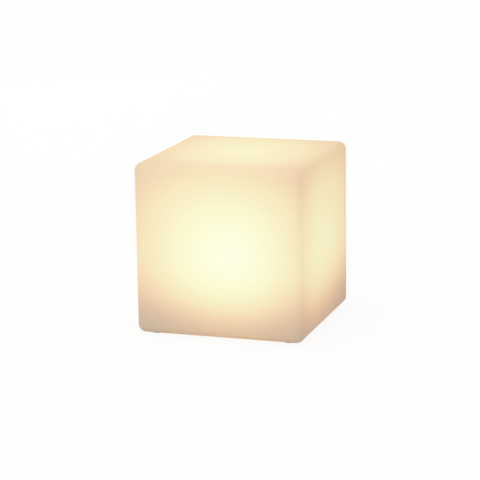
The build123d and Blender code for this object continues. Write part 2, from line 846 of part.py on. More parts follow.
def make_all():
    """Every piece by name, each in its place."""
    pieces = {
        "cube_shell": make_cube_shell(),
        "base_gasket": make_base_gasket(),
        "base_cover": make_base_cover(),
        "power_button": make_power_button(),
        "button_boot": make_button_boot(),
        "button_bezel": make_button_bezel(),
        "tact_switch": make_tact_switch(),
        "switch_plunger": make_switch_plunger(),
        "charge_socket": make_charge_socket(),
        "socket_pin": make_socket_pin(),
        "bung_cap": make_bung_cap(),
        "bung_anchor": make_bung_anchor(),
        "charge_indicator": make_charge_indicator(),
        "control_board": make_control_board(),
        "board_chips": make_board_chips(),
        "cell_cradle": make_cell_cradle(),
        "cell_1": make_cell(-1),
        "cell_2": make_cell(1),
        "positive_strip": make_end_strip(1),
        "negative_strip": make_end_strip(-1),
        "foam_pad": make_foam_pad(),
        "cell_lead_positive": make_cell_lead("cell_lead_positive", 1),
        "cell_lead_negative": make_cell_lead("cell_lead_negative", -1),
        "lamp_lead_positive": make_lamp_lead("lamp_lead_positive", lamp_lead_spacing / 2),
        "lamp_lead_negative": make_lamp_lead("lamp_lead_negative", -lamp_lead_spacing / 2),
        "canister": make_canister(),
        "canister_seal": make_canister_seal(),
        "heat_spreader": make_heat_spreader(),
        "lamp_board": make_lamp_board(),
        "lamp_diodes": make_lamp_diodes(),
        "dome": make_dome(),
        "dome_seal": make_dome_seal(),
    }
    repeated = (
        ("foot", make_foot, foot_places),
        ("thread_insert", make_thread_insert, cover_screw_places),
        ("cover_screw", make_cover_screw, cover_screw_places),
        ("board_screw", make_board_screw, board_screw_places),
        ("canister_screw", make_canister_screw, can_screw_places),
        ("lamp_board_screw", make_lamp_board_screw, lamp_screw_places),
        ("dome_screw", make_dome_screw, dome_screw_places),
    )
    for name, make, places in repeated:
        for number, (x, y) in enumerate(places, 1):
            pieces[f"{name}_{number}"] = make(x, y)
    return pieces


os.makedirs("parts", exist_ok=True)
for name, piece in make_all().items():
    export_step(piece, f"parts/{name}.step")
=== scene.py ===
import json
from math import cos, pi, radians, sin

import bpy
from bpy.props import FloatProperty, FloatVectorProperty, IntProperty, PointerProperty
from mathutils import Matrix, Vector

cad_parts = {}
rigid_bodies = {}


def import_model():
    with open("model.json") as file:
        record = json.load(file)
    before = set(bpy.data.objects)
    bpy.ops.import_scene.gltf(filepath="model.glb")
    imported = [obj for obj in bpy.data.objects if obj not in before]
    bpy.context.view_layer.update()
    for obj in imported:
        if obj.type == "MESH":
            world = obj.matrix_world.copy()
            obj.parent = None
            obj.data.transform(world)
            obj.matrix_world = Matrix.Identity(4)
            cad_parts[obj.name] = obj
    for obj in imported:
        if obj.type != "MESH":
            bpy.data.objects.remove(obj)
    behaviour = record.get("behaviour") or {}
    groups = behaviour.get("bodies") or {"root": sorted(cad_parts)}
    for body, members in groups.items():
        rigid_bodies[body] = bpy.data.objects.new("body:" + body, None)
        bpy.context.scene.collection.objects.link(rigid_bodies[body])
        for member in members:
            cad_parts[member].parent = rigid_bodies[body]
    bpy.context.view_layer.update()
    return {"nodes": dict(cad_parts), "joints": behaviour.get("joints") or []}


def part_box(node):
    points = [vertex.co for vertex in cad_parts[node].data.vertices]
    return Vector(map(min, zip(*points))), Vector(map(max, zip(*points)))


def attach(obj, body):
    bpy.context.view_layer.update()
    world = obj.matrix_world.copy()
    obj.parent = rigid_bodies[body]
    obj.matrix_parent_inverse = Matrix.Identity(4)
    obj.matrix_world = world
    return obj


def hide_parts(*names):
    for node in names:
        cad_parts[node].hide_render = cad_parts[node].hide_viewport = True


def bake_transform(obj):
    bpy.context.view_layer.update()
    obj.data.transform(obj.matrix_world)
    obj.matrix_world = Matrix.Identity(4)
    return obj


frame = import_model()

bl_info = {
    "name": "Cube lamp",
    "version": (1, 0, 0),
    "blender": (4, 5, 0),
    "location": "View3D > Sidebar > Cube lamp",
    "description": "Dresses a cordless cube lamp: glowing shell, rubber parts, finishes and stage",
    "category": "Object",
}

# Metres, +Z up, the ground at z = 0 and the cube's front at -Y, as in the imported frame.

MM = 0.001

# ---------------------------------------------------------------- places read from the frame


def middle_of(node):
    """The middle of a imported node's box."""
    low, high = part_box(node)
    return (low + high) / 2


def numbered(stem, count):
    """The names of like nodes."""
    return [f"{stem}_{number}" for number in range(1, count + 1)]


SHELL_LOW, SHELL_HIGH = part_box("cube_shell")
CUBE_SIDE = SHELL_HIGH.x - SHELL_LOW.x
CUBE_MIDDLE = middle_of("cube_shell").z
COVER_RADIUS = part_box("base_cover")[1].x
FLANGE_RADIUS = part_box("canister")[1].x
GASKET_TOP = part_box("base_gasket")[1].z
FOOT_RADIUS = (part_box("foot_1")[1].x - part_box("foot_1")[0].x) / 2
FOOT_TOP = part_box("foot_1")[1].z
FEET = numbered("foot", 4)
INSERTS = numbered("thread_insert", 6)
INSERT_RADIUS = (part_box(INSERTS[0])[1].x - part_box(INSERTS[0])[0].x) / 2
INSERT_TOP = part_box(INSERTS[0])[1].z
BOOT_LOW, BOOT_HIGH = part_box("button_boot")
BOOT_X = middle_of("button_boot").x
BUTTON_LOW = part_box("power_button")[0]
BUNG_LOW, BUNG_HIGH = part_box("bung_cap")
ANCHOR_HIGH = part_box("bung_anchor")[1]
JACK_X = middle_of("socket_pin").x
JACK_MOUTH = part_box("charge_socket")[0].z
HINGE = Vector(next(joint for joint in frame["joints"] if joint["name"] == "bung_swing")["pos_m"])
WELL_ROOF = BOOT_HIGH.z

# ---------------------------------------------------------------- sizes and colours to change


def colour_setting(name, description, default):
    """A colour that a user can change."""
    return FloatVectorProperty(
        name=name, description=description, subtype="COLOR", size=3, min=0, max=1, default=default)


def power_setting(name, description, default):
    """The power of a lamp, in watts, that a user can change."""
    return FloatProperty(
        name=name, description=description, default=default, min=0, subtype="POWER", unit="POWER")


class ShellSettings(bpy.types.PropertyGroup):
    edge_radius: FloatProperty(
        name="Edge radius", description="Rounding of the cube's edges and corners",
        default=9.5 * MM, min=1 * MM, max=40 * MM, unit="LENGTH")
    wall: FloatProperty(
        name="Wall", description="Thickness of the moulded wall",
        default=3 * MM, min=1 * MM, max=8 * MM, unit="LENGTH")
    mouth_round: FloatProperty(
        name="Mouth rounding", description="Rounding of the pocket's mouth in the underside",
        default=2 * MM, min=0.2 * MM, max=4 * MM, unit="LENGTH")
    body: colour_setting("Plastic", "Colour of the plastic itself", (0.302, 0.343, 0.307))
    # The source, spread and shades below set the shell's painted glow: painted light from an
    # invented source and twin, and painted shade at the edges and foot.
    source: FloatVectorProperty(
        name="Source", description="Light behind the front, with a twin behind the back",
        subtype="TRANSLATION", unit="LENGTH", size=3, default=(13.8 * MM, -50 * MM, 97.5 * MM))
    glow_spread: FloatProperty(
        name="Spread", description="Share of the glow that reaches all of the wall alike",
        default=0.34, min=0, max=1, subtype="FACTOR")
    edge_shade: FloatProperty(
        name="Edge shade", description="How much darker the rounded edges glow",
        default=0.227, min=0, max=1, subtype="FACTOR")
    foot_shade: FloatProperty(
        name="Foot shade", description="How much darker the wall glows at its foot",
        default=0.422, min=0, max=1, subtype="FACTOR")
    foot_reach: FloatProperty(
        name="Foot reach", description="How high up the shaded foot of the wall goes",
        default=97.6 * MM, min=1 * MM, max=200 * MM, unit="LENGTH")


class RubberSettings(bpy.types.PropertyGroup):
    tread_depth: FloatProperty(
        name="Tread depth", description="Depth of the ring grooves under the feet",
        default=0.4 * MM, min=0, max=1 * MM, unit="LENGTH")
    tread_rings: IntProperty(
        name="Tread rings", description="Number of ring grooves under each foot",
        default=3, min=1, max=5)
    symbol_radius: FloatProperty(
        name="Symbol radius", description="Outer radius of the raised on/off symbol",
        default=3.1 * MM, min=1 * MM, max=5 * MM, unit="LENGTH")
    symbol_line: FloatProperty(
        name="Symbol line", description="Line width of the raised on/off symbol",
        default=0.65 * MM, min=0.2 * MM, max=1.5 * MM, unit="LENGTH")
    symbol_height: FloatProperty(
        name="Symbol height", description="How far the on/off symbol stands out",
        default=0.35 * MM, min=0.1 * MM, max=0.6 * MM, unit="LENGTH")
    dark: colour_setting("Rubber", "Colour of the feet, gasket and bung", (0.045, 0.045, 0.048))
    boot: colour_setting("Button boot", "Colour of the button's boot", (0.10, 0.105, 0.11))


class FinishSettings(bpy.types.PropertyGroup):
    cover: colour_setting("Base cover", "Colour of the base cover", (0.66, 0.64, 0.60))
    can: colour_setting("Engine can", "Colour of the can around the cells", (0.76, 0.76, 0.73))
    wrap: colour_setting("Cell wrap", "Colour of the cells' wrapping", (0.03, 0.13, 0.32))
    board: colour_setting("Control board", "Colour of the control board", (0.012, 0.11, 0.04))
    light: colour_setting(
        "Lamp light", "Colour of the light from diodes and dome", (1.0, 0.80, 0.52))


class StageSettings(bpy.types.PropertyGroup):
    azimuth: FloatProperty(
        name="Azimuth", description="Camera's turn round the lamp from the front",
        default=radians(18.254), unit="ROTATION")
    elevation: FloatProperty(
        name="Elevation", description="Camera's height angle above the horizon",
        default=radians(13.093), unit="ROTATION")
    roll: FloatProperty(
        name="Roll", description="Camera's tilt about its own line of sight",
        default=radians(-0.823), unit="ROTATION")
    distance: FloatProperty(
        name="Distance", description="From the camera to the middle of the cube",
        default=2.242, min=0.5, unit="LENGTH")
    aim_right: FloatProperty(
        name="Aim right", description="How far right of the picture's middle the cube stands",
        default=4.720 * MM, unit="LENGTH")
    aim_up: FloatProperty(
        name="Aim up", description="How far above the picture's middle the cube stands",
        default=5.994 * MM, unit="LENGTH")
    lens: FloatProperty(
        name="Lens", description="Focal length in millimetres on a 36 mm sensor",
        default=142.5, min=20, max=400)
    ambient: FloatProperty(
        name="Ambient", description="Brightness of the even light from all round",
        default=0.625, min=0, max=2)
    key: power_setting("Key lamp", "Power of the large lamp low in front", 12.3)
    fill: power_setting("Fill lamp", "Power of the lamp high at the left", 2.3)
    side: power_setting("Side lamp", "Power of the lamp at the right", 2.1)
    back: power_setting("Back lamp", "Power of the lamp low behind, to the left", 20.0)
    top: power_setting("Top lamp", "Power of the lamp overhead", 13.0)
    under: power_setting("Under lamp", "Power of the lamp under the floor, for the underside", 10.0)
    floor: colour_setting("Floor", "Colour of the pale floor", (0.90, 0.90, 0.90))


# ---------------------------------------------------------------- modelling by hand

# Points closer than this become one, and edges sharper than this stay sharp.
WELD_REACH = 0.0005 * MM
SHARP_ANGLE = radians(32)


def nothing_held():
    """Leave edit mode with nothing selected."""
    if bpy.context.mode != "OBJECT":
        bpy.ops.object.mode_set(mode="OBJECT")
    for thing in bpy.context.view_layer.objects:
        thing.select_set(False)


def hold(piece):
    """Select one piece alone and make it the active one."""
    nothing_held()
    piece.select_set(True)
    bpy.context.view_layer.objects.active = piece


def named(name):
    """Name the primitive that was just added, and its mesh."""
    piece = bpy.context.active_object
    piece.name = name
    piece.data.name = name
    return piece


def turned(name, outline, x=0.0, y=0.0, sides=96):
    """A turned solid: a disc drawn out ring by ring along an outline of (radius, height)."""
    radius, height = outline[0]
    nothing_held()
    bpy.ops.mesh.primitive_circle_add(
        vertices=sides, radius=radius, fill_type="NGON", location=(x, y, height))
    piece = named(name)
    bpy.ops.object.mode_set(mode="EDIT")
    bpy.ops.mesh.select_all(action="SELECT")
    for next_radius, next_height in outline[1:]:
        bpy.ops.mesh.extrude_region_move(
            TRANSFORM_OT_translate={"value": (0, 0, next_height - height)})
        scale = next_radius / radius
        bpy.ops.transform.resize(value=(scale, scale, 1), center_override=(x, y, next_height))
        radius, height = next_radius, next_height
    bpy.ops.mesh.select_all(action="SELECT")
    bpy.ops.mesh.normals_make_consistent(inside=False)
    bpy.ops.object.mode_set(mode="OBJECT")
    return piece


def block(name, low, high):
    """A rectangular block between two corners."""
    low, high = Vector(low), Vector(high)
    nothing_held()
    bpy.ops.mesh.primitive_cube_add(size=1, location=(low + high) / 2, scale=high - low)
    piece = named(name)
    bpy.ops.object.transform_apply(location=True, rotation=True, scale=True)
    return piece


def rounded_cube(name, side, radius, segments):
    """A cube about the shell's middle with every edge and corner rounded alike."""
    nothing_held()
    bpy.ops.mesh.primitive_cube_add(size=side, location=(0, 0, CUBE_MIDDLE))
    piece = named(name)
    bpy.ops.object.mode_set(mode="EDIT")
    bpy.ops.mesh.select_mode(type="EDGE")
    bpy.ops.mesh.select_all(action="SELECT")
    bpy.ops.mesh.bevel(
        offset=radius, offset_type="OFFSET", segments=segments, profile=0.5, affect="EDGES")
    bpy.ops.object.mode_set(mode="OBJECT")
    return piece


def combine(piece, tool, operation="DIFFERENCE"):
    """Cut a tool out of a piece, or join it on, and use the tool up."""
    hold(piece)
    step = piece.modifiers.new(operation.title(), "BOOLEAN")
    step.operation = operation
    step.solver = "EXACT"
    step.object = tool
    bpy.ops.object.modifier_apply(modifier=step.name)
    bpy.data.objects.remove(tool)
    if not piece.data.polygons:
        raise RuntimeError(f"{piece.name} is empty after {operation.lower()}")


def soften(piece, width, segments=2, angle=30):
    """Round every edge sharper than an angle."""
    hold(piece)
    step = piece.modifiers.new("Round", "BEVEL")
    step.width = width
    step.segments = segments
    step.limit_method = "ANGLE"
    step.angle_limit = radians(angle)
    bpy.ops.object.modifier_apply(modifier=step.name)


def complete(piece, body, slot, material, *nodes):
    """Put a piece's place into its mesh, smooth it, and give it its finish and its body."""
    hold(piece)
    bpy.ops.object.transform_apply(location=True, rotation=True, scale=True)
    bpy.ops.object.mode_set(mode="EDIT")
    bpy.ops.mesh.select_all(action="SELECT")
    bpy.ops.mesh.remove_doubles(threshold=WELD_REACH)
    bpy.ops.object.mode_set(mode="OBJECT")
    bpy.ops.object.shade_smooth_by_angle(angle=SHARP_ANGLE)
    step = piece.modifiers.new("Even shading", "WEIGHTED_NORMAL")
    step.keep_sharp = True
    bpy.ops.object.modifier_apply(modifier=step.name)
    piece.data.materials.clear()
    piece.data.materials.append(material)
    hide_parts(*nodes)
    if body:
        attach(piece, body)
    nothing_held()


# ---------------------------------------------------------------- node trees


class Wiring:
    """Adds nodes to one tree and joins them up."""

    def __init__(self, tree):
        self.tree = tree

    def feed(self, socket, value):
        """Join an output to a socket, or set the socket's own value."""
        if isinstance(value, bpy.types.NodeSocket):
            self.tree.links.new(value, socket)
        else:
            socket.default_value = value

    def add(self, kind, inputs=(), **settings):
        """A node of one kind, with its settings, and with its inputs by name or number."""
        node = self.tree.nodes.new("ShaderNode" + kind)
        for name, value in settings.items():
            setattr(node, name, value)
        for name, value in dict(inputs).items():
            self.feed(node.inputs[name], value)
        return node

    def math(self, operation, *values):
        """The result of one Math node."""
        return self.add("Math", enumerate(values), operation=operation).outputs[0]

    def ramp(self, value, stops):
        """The smoothed colour of a ramp of (position, colour) stops."""
        node = self.add("ValToRGB", {"Fac": value})
        node.color_ramp.interpolation = "B_SPLINE"
        elements = node.color_ramp.elements
        while len(elements) < len(stops):
            elements.new(0.5)
        for element, (position, colour) in zip(elements, stops):
            element.position = position
            element.color = (*colour, 1)
        return node.outputs["Color"]

    def span(self, value, low, high, new_low=0.0, new_high=1.0, kind="SMOOTHSTEP"):
        """A value carried from one range to another, held at both ends."""
        inputs = {"Value": value, "From Min": low, "From Max": high,
                  "To Min": new_low, "To Max": new_high}
        return self.add("MapRange", inputs, interpolation_type=kind).outputs["Result"]

    def noise(self, vector, scale, detail=2.0, roughness=0.5):
        """Noise about 0.5, of so many patches per metre."""
        inputs = {"Vector": vector, "Scale": scale, "Detail": detail, "Roughness": roughness}
        return self.add("TexNoise", inputs).outputs["Fac"]

    def tint(self, colour, value):
        """A colour made lighter or darker by a factor."""
        return self.add("VectorMath", {0: colour, "Scale": value}, operation="SCALE").outputs[0]

    def blend(self, factor, first, second):
        """One colour mixed into another."""
        node = self.add("Mix", {"Factor": factor}, data_type="RGBA")
        colours = [socket for socket in node.inputs if socket.type == "RGBA"]
        self.feed(colours[0], first)
        self.feed(colours[1], second)
        return next(socket for socket in node.outputs if socket.type == "RGBA")


def new_group(name, inputs, outputs):
    """A shader node group with named inputs (name, kind, default) and outputs (name, kind)."""
    tree = bpy.data.node_groups.new(name, "ShaderNodeTree")
    for label, kind, default in inputs:
        socket = tree.interface.new_socket(
            name=label, in_out="INPUT", socket_type="NodeSocket" + kind)
        socket.default_value = default
    for label, kind in outputs:
        tree.interface.new_socket(name=label, in_out="OUTPUT", socket_type="NodeSocket" + kind)
    given = tree.nodes.new("NodeGroupInput").outputs
    return Wiring(tree), given, tree.nodes.new("NodeGroupOutput").inputs


def moulded_surface():
    """Group: slight unevenness of colour and gloss in patches, over a fine grain."""
    name = "Moulded surface"
    if name in bpy.data.node_groups:
        return bpy.data.node_groups[name]
    wiring, given, result = new_group(
        name,
        [("Colour", "Color", (0.5, 0.5, 0.5, 1)), ("Colour spread", "Float", 0.04),
         ("Patches per metre", "Float", 60.0), ("Grains per metre", "Float", 1500.0),
         ("Roughness", "Float", 0.5), ("Roughness spread", "Float", 0.08)],
        [("Colour", "Color"), ("Roughness", "Float"), ("Height", "Float")])
    place = wiring.add("TexCoord").outputs["Object"]
    patch = wiring.math("SUBTRACT", wiring.noise(place, given["Patches per metre"], 4.0), 0.5)
    grain = wiring.noise(place, given["Grains per metre"], 3.0)
    spread = wiring.math("MULTIPLY", given["Colour spread"], 2.0)
    lighter = wiring.math("MULTIPLY_ADD", patch, spread, 1.0)
    wiring.feed(result["Colour"], wiring.tint(given["Colour"], lighter))
    uneven = wiring.math("ADD", patch, wiring.math("MULTIPLY_ADD", grain, 0.4, -0.2))
    wiring.feed(result["Roughness"], wiring.math(
        "MULTIPLY_ADD", uneven, given["Roughness spread"], given["Roughness"]))
    wiring.feed(result["Height"], grain)
    return wiring.tree


def handling_wear():
    """Group: masks of fine hair scratches and of settled dust."""
    name = "Handling wear"
    if name in bpy.data.node_groups:
        return bpy.data.node_groups[name]
    wiring, given, result = new_group(
        name,
        [("Scratches per metre", "Float", 90.0), ("Scratch share", "Float", 0.5),
         ("Dust per metre", "Float", 55.0), ("Dust share", "Float", 0.5)],
        [("Scratches", "Float"), ("Dust", "Float")])
    place = wiring.add("TexCoord").outputs["Object"]
    hair_width = 0.012
    worn_patches = 70.0
    marks = []
    for turn, stretch in ((35, 9.0), (-62, 13.0)):
        slanted = wiring.add("Mapping", {
            "Vector": place, "Rotation": (0, 0, radians(turn)), "Scale": (1, stretch, 1)})
        lines = wiring.noise(slanted.outputs[0], given["Scratches per metre"], 5.0, 0.62)
        fine = wiring.math("ABSOLUTE", wiring.math("SUBTRACT", lines, 0.5))
        marks.append(wiring.span(fine, 0.0, hair_width, 1.0, 0.0))
    worn = wiring.span(wiring.noise(place, worn_patches), 0.5, 0.72)
    wiring.feed(result["Scratches"], wiring.math(
        "MULTIPLY", wiring.math("MULTIPLY", wiring.math("MAXIMUM", *marks), worn),
        given["Scratch share"]))
    cloud = wiring.noise(place, given["Dust per metre"], 6.0, 0.6)
    wiring.feed(result["Dust"], wiring.math(
        "MULTIPLY", wiring.span(cloud, 0.46, 0.75), given["Dust share"]))
    return wiring.tree


# The painted glow falls off as this power of the distance, and its peak is where the ramp ends.
GLOW_FALLOFF = 2.0
GLOW_PEAK = 1.74
# How squarely the painted edge shade follows the edges of a face: 2 is round, and more is squarer.
# It grows between two shares of the way from a face's middle to its edge, the second past the
# corners.
EDGE_POWER = 4.0
EDGE_START = 0.03
EDGE_END = 1.36
# The flat underside takes this share of the painted foot shade, and the wall above this rise all of
# it.
FLAT_SHARE = 0.2
FLAT_RISE = 1.2 * MM
# Unevenness of the wall: its patches per metre, and how much they change the painted glow.
UNEVEN_PATCHES = 26.0
UNEVEN_DEPTH = 0.02
# The painted glow's colours: the weakest painted light leaves the wall brown, then orange, then
# peach, and the strongest pale cream.
GLOW_STOPS = (
    (0.12, (0.13, 0.06, 0.02)),
    (0.20, (0.40, 0.15, 0.04)),
    (0.28, (0.57, 0.31, 0.12)),
    (0.36, (0.60, 0.44, 0.19)),
    (0.52, (0.63, 0.56, 0.28)),
    (0.76, (0.65, 0.61, 0.37)),
    (1.00, (0.65, 0.62, 0.44)),
)


def painted_wall_glow():
    """Group: how strongly the painted glow lights the wall at a place, from 0 to 1.

    The painted light falls off with the distance from a source behind the front wall and from its
    twin behind the back wall. The edges and corners and the foot are painted dimmer: painted shade
    where the base and the thick edges would shade the wall.
    """
    name = "Wall glow"
    if name in bpy.data.node_groups:
        return bpy.data.node_groups[name]
    wiring, given, result = new_group(
        name,
        [("Half side", "Float", CUBE_SIDE / 2), ("Middle height", "Float", CUBE_MIDDLE),
         ("Source", "Vector", (0, 0, 0.1)), ("Spread", "Float", 0.3), ("Edge shade", "Float", 0.1),
         ("Foot shade", "Float", 0.5), ("Foot reach", "Float", 0.08)],
        [("Level", "Float")])
    place = wiring.add("TexCoord").outputs["Object"]
    axes = wiring.add("SeparateXYZ", {0: place}).outputs
    opposite = wiring.add("VectorMath", {0: place, 1: (-1, -1, 1)}, operation="MULTIPLY").outputs[0]
    lights = []
    for spot in (place, opposite):
        distance = wiring.add(
            "VectorMath", {0: spot, 1: given["Source"]}, operation="DISTANCE").outputs["Value"]
        near = wiring.math("DIVIDE", given["Half side"], distance)
        lights.append(wiring.math("POWER", near, GLOW_FALLOFF))
    direct = wiring.math("MULTIPLY", wiring.math("ADD", *lights), 0.5)
    heart = wiring.math("SUBTRACT", 1.0, given["Spread"])
    level = wiring.math("MULTIPLY_ADD", direct, heart, given["Spread"])

    # Painted shade: the glow is made darker towards the edges and corners.
    height = wiring.math("SUBTRACT", axes["Z"], given["Middle height"])
    wide, deep, tall = (
        wiring.math("DIVIDE", wiring.math("ABSOLUTE", axis), given["Half side"])
        for axis in (axes["X"], axes["Y"], height))
    wide, deep, tall = (wiring.math("POWER", part, EDGE_POWER) for part in (wide, deep, tall))
    most = wiring.math("MAXIMUM", wide, wiring.math("MAXIMUM", deep, tall))
    whole = wiring.math("ADD", wide, wiring.math("ADD", deep, tall))
    rest = wiring.math("MAXIMUM", wiring.math("SUBTRACT", whole, most), 0.0)
    near_edge = wiring.span(wiring.math("POWER", rest, 1 / EDGE_POWER), EDGE_START, EDGE_END)
    shade = wiring.math("MULTIPLY", near_edge, given["Edge shade"])
    level = wiring.math("MULTIPLY", level, wiring.math("SUBTRACT", 1.0, shade))

    # Painted shade: the glow is made darker towards the foot, less so on the flat underside.
    foot = wiring.span(axes["Z"], 0.0, given["Foot reach"], 1.0, 0.0)
    flat = wiring.span(axes["Z"], SHELL_LOW.z, SHELL_LOW.z + FLAT_RISE, FLAT_SHARE, 1.0)
    shade = wiring.math("MULTIPLY", wiring.math("MULTIPLY", foot, flat), given["Foot shade"])
    level = wiring.math("MULTIPLY", level, wiring.math("SUBTRACT", 1.0, shade))
    uneven = wiring.math("SUBTRACT", wiring.noise(place, UNEVEN_PATCHES, 3.0), 0.5)
    level = wiring.math("MULTIPLY_ADD", uneven, UNEVEN_DEPTH, level)
    wiring.feed(result["Level"], wiring.math("DIVIDE", level, GLOW_PEAK))
    return wiring.tree


# ---------------------------------------------------------------- finishes


def fresh(name):
    """A new material, its wiring and its shader's inputs."""
    material = bpy.data.materials.new(name)
    material.use_nodes = True
    return material, Wiring(material.node_tree), material.node_tree.nodes["Principled BSDF"].inputs


def bump(wiring, shader, height, depth):
    """Feed a height into the shader's normal, depth in metres."""
    node = wiring.add("Bump", {"Height": height, "Distance": depth, "Strength": 1.0})
    wiring.feed(shader["Normal"], node.outputs["Normal"])


def with_group(wiring, tree, values):
    """Place a group in a material with its values, and give its outputs."""
    node = wiring.add("Group", node_tree=tree)
    for name, value in values.items():
        wiring.feed(node.inputs[name], value)
    return node.outputs


def plastic(name, colour, roughness, grain, depth=0.02 * MM, dust=0.0, scratches=0.0):
    """A moulded finish: patches and grain, with dust and scratches on top."""
    material, wiring, shader = fresh(name)
    surface = with_group(wiring, moulded_surface(), {
        "Colour": (*colour, 1), "Grains per metre": grain, "Roughness": roughness,
        "Roughness spread": 0.16})
    paint, gloss, height = surface["Colour"], surface["Roughness"], surface["Height"]
    if dust or scratches:
        wear = with_group(
            wiring, handling_wear(), {"Dust share": dust, "Scratch share": scratches})
        paint = wiring.blend(wear["Dust"], paint, (0.42, 0.38, 0.33, 1))
        paler = tuple(min(1.0, 0.7 * part + 0.3) for part in colour)
        paint = wiring.blend(wear["Scratches"], paint, (*paler, 1))
        gloss = wiring.math("MULTIPLY_ADD", wear["Dust"], 0.35, gloss)
        height = wiring.math("SUBTRACT", height, wiring.math("MULTIPLY", wear["Scratches"], 0.8))
    wiring.feed(shader["Base Color"], paint)
    wiring.feed(shader["Roughness"], gloss)
    bump(wiring, shader, height, depth)
    return material


def painted_glow_plastic(size):
    """The milky shell: its own colour, and a painted glow in its emission that goes by place,
    standing in for the light from inside, with painted shade at the edges and foot.
    """
    material, wiring, shader = fresh("Plastic with painted glow")
    surface = with_group(wiring, moulded_surface(), {
        "Colour": (*size.body, 1), "Colour spread": 0.012, "Patches per metre": 18.0,
        "Grains per metre": 420.0, "Roughness": 0.62, "Roughness spread": 0.08})
    wiring.feed(shader["Base Color"], surface["Colour"])
    wiring.feed(shader["Roughness"], surface["Roughness"])
    shader["Specular IOR Level"].default_value = 0.35
    bump(wiring, shader, surface["Height"], 0.05 * MM)
    # Painted light and painted shade: the emission colour is painted by place on the wall.
    glow = with_group(wiring, painted_wall_glow(), {
        "Source": size.source, "Spread": size.glow_spread, "Edge shade": size.edge_shade,
        "Foot shade": size.foot_shade, "Foot reach": size.foot_reach})
    wiring.feed(shader["Emission Color"], wiring.ramp(glow["Level"], GLOW_STOPS))
    shader["Emission Strength"].default_value = 1.0
    return material


def foam_finish(name, colour):
    """Open-cell foam: a soft block of small cells, painted darker towards their middles as painted
    shade in the pores.
    """
    material, wiring, shader = fresh(name)
    place = wiring.add("TexCoord").outputs["Object"]
    cells = wiring.add("TexVoronoi", {"Vector": place, "Scale": 900.0, "Randomness": 1.0})
    # Painted shade: each cell darkens towards its middle, as shade in the pore, and its walls are
    # lighter.
    wall = wiring.span(cells.outputs["Distance"], 0.1, 0.6)
    lighter = wiring.math("MULTIPLY_ADD", wall, 1.2, 0.4)
    wiring.feed(shader["Base Color"], wiring.tint(colour, lighter))
    shader["Roughness"].default_value = 0.95
    bump(wiring, shader, wall, 0.3 * MM)
    return material


def brushed_metal(name, colour, roughness, stretch):
    """Metal with fine lines, closest along the axis stretched most, and slight stains."""
    material, wiring, shader = fresh(name)
    place = wiring.add("TexCoord").outputs["Object"]
    drawn = wiring.add("Mapping", {"Vector": place, "Scale": stretch}).outputs[0]
    lines = wiring.noise(drawn, 160.0, 4.0)
    stain = wiring.noise(place, 240.0, 4.0)
    lighter = wiring.span(stain, 0.3, 0.7, 0.86, 1.05, "LINEAR")
    wiring.feed(shader["Base Color"], wiring.tint(colour, lighter))
    wiring.feed(shader["Roughness"], wiring.math("MULTIPLY_ADD", lines, 0.16, roughness - 0.08))
    shader["Metallic"].default_value = 1.0
    bump(wiring, shader, lines, 0.006 * MM)
    return material


def cell_wrapping(name, colour, low, high):
    """The cells' shrink wrap: gloss film with a paler band near one end and bare metal rims."""
    material, wiring, shader = fresh(name)
    place = wiring.add("TexCoord").outputs["Object"]
    along = wiring.add("SeparateXYZ", {0: place}).outputs["X"]
    fade = 0.3 * MM
    band_start, band_end = high - 9 * MM, high - 5.4 * MM
    first_rim, second_rim = low + 0.6 * MM, high - 1.6 * MM
    band = wiring.math("MULTIPLY", wiring.span(along, band_start, band_start + fade),
                       wiring.span(along, band_end, band_end + fade, 1.0, 0.0))
    surface = with_group(wiring, moulded_surface(), {
        "Colour": (*colour, 1), "Grains per metre": 300.0, "Roughness": 0.2})
    paint = wiring.blend(band, surface["Colour"], (0.75, 0.75, 0.73, 1))
    bare = wiring.math("ADD", wiring.span(along, first_rim, first_rim + fade, 1.0, 0.0),
                       wiring.span(along, second_rim, second_rim + fade))
    wiring.feed(shader["Base Color"], wiring.blend(bare, paint, (0.62, 0.60, 0.57, 1)))
    wiring.feed(shader["Roughness"], surface["Roughness"])
    wiring.feed(shader["Metallic"], bare)
    shader["Coat Weight"].default_value = 0.4
    bump(wiring, shader, surface["Height"], 0.03 * MM)
    return material


def circuit_board(name, colour, line_colour, pad_colour, lines=420.0):
    """A board under solder mask: raised tracks, and tinned pads showing through."""
    material, wiring, shader = fresh(name)
    place = wiring.add("TexCoord").outputs["Object"]
    runs = []
    for turn in (0, 90):
        laid = wiring.add("Mapping", {"Vector": place, "Rotation": (0, 0, radians(turn))})
        bricks = wiring.add("TexBrick", {
            "Vector": laid.outputs[0], "Scale": lines / 4, "Mortar Size": 0.035,
            "Mortar Smooth": 0.1, "Brick Width": 0.9, "Row Height": 0.32}, offset=0.37, squash=1.6)
        runs.append(bricks.outputs["Fac"])
    tracks = wiring.math("MULTIPLY", runs[0], wiring.math("SUBTRACT", 1.0, runs[1]))
    dots = wiring.add("TexVoronoi", {"Vector": place, "Scale": lines / 2}).outputs["Distance"]
    pad = wiring.span(dots, 0.13, 0.16, 1.0, 0.0)
    paint = wiring.blend(tracks, (*colour, 1), (*line_colour, 1))
    wiring.feed(shader["Base Color"], wiring.blend(pad, paint, (*pad_colour, 1)))
    wiring.feed(shader["Metallic"], pad)
    wiring.feed(shader["Roughness"], wiring.math("MULTIPLY_ADD", pad, -0.1, 0.38))
    bump(wiring, shader, wiring.math("ADD", tracks, pad), 0.03 * MM)
    return material


def lit(material, colour, strength):
    """Add a plain glow of its own to a finished material."""
    shader = material.node_tree.nodes["Principled BSDF"].inputs
    shader["Emission Color"].default_value = (*colour, 1)
    shader["Emission Strength"].default_value = strength
    return material


